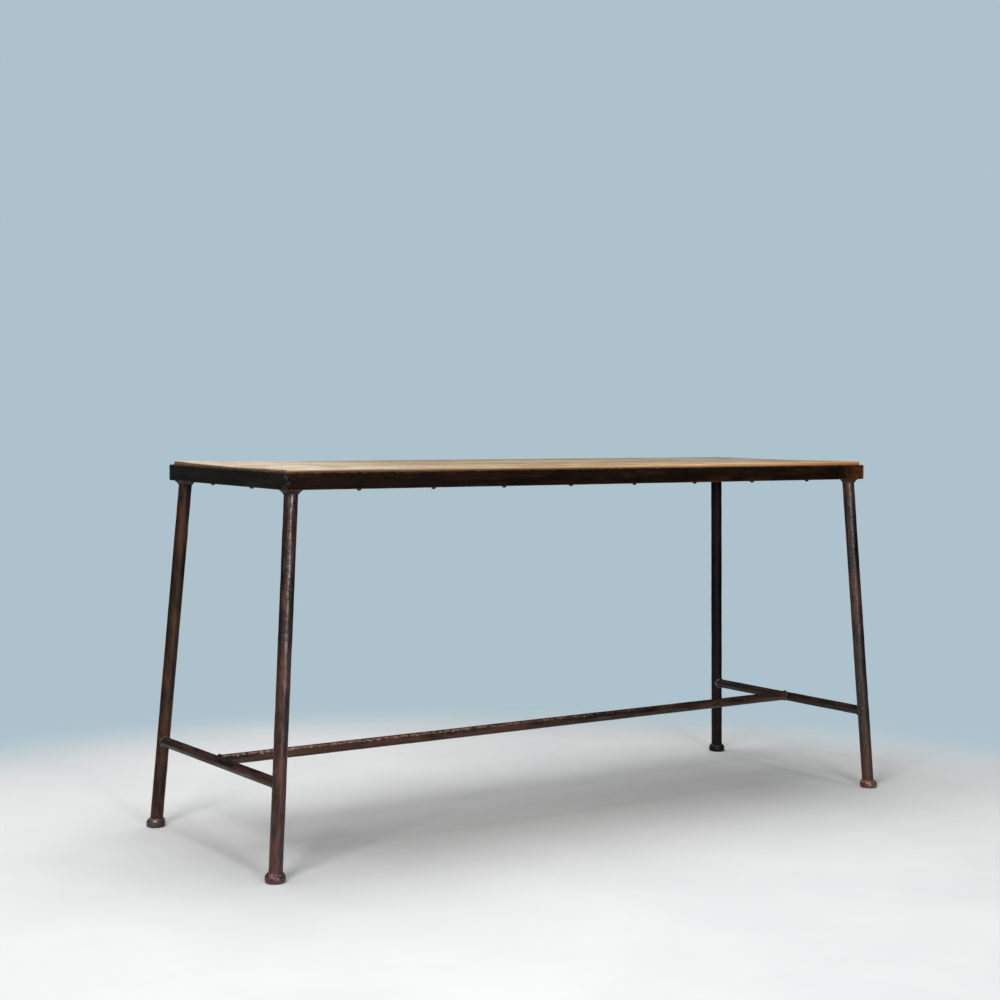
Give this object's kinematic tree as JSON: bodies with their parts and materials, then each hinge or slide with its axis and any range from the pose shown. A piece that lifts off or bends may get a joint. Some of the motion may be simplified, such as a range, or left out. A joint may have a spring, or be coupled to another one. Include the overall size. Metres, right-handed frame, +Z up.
{
  "type": "sewing table",
  "caption": "Long narrow work table with a plank top let into a welded angle-iron rim, splayed pipe legs with domed feet and a low H-shaped stretcher.",
  "frame": {"origin": "on the floor, under the middle of the top", "axes": "+X along the length towards the right-hand end, +Y from the front edge towards the rear edge, +Z up"},
  "size_m": [1.616, 0.574, 0.7708],
  "materials": {
    "rim_iron": "matte",
    "leg_pipe": "satin",
    "stretcher_pipe": "satin",
    "foot_iron": "satin",
    "weld_metal": "matte",
    "screw_iron": "matte",
    "board_wood": "matte"
  },
  "bodies": {
    "root": {"rim_front": "rim_iron", "rim_rear": "rim_iron", "rim_left": "rim_iron", "rim_right": "rim_iron", "board_front": "board_wood", "board_mid_front": "board_wood", "board_centre": "board_wood", "board_mid_rear": "board_wood", "board_rear": "board_wood", "leg_front_left": "leg_pipe", "leg_front_right": "leg_pipe", "leg_rear_left": "leg_pipe", "leg_rear_right": "leg_pipe", "foot_front_left": "foot_iron", "foot_front_right": "foot_iron", "foot_rear_left": "foot_iron", "foot_rear_right": "foot_iron", "stretcher_left": "stretcher_pipe", "stretcher_right": "stretcher_pipe", "stretcher_long": "stretcher_pipe", "screws_front": "screw_iron", "screws_rear": "screw_iron", "screws_left": "screw_iron", "screws_right": "screw_iron", "weld_leg_front_left": "weld_metal", "weld_leg_front_right": "weld_metal", "weld_leg_rear_left": "weld_metal", "weld_leg_rear_right": "weld_metal", "welds_rim_corners": "weld_metal", "welds_stretchers": "weld_metal"}
  },
  "joints": []
}
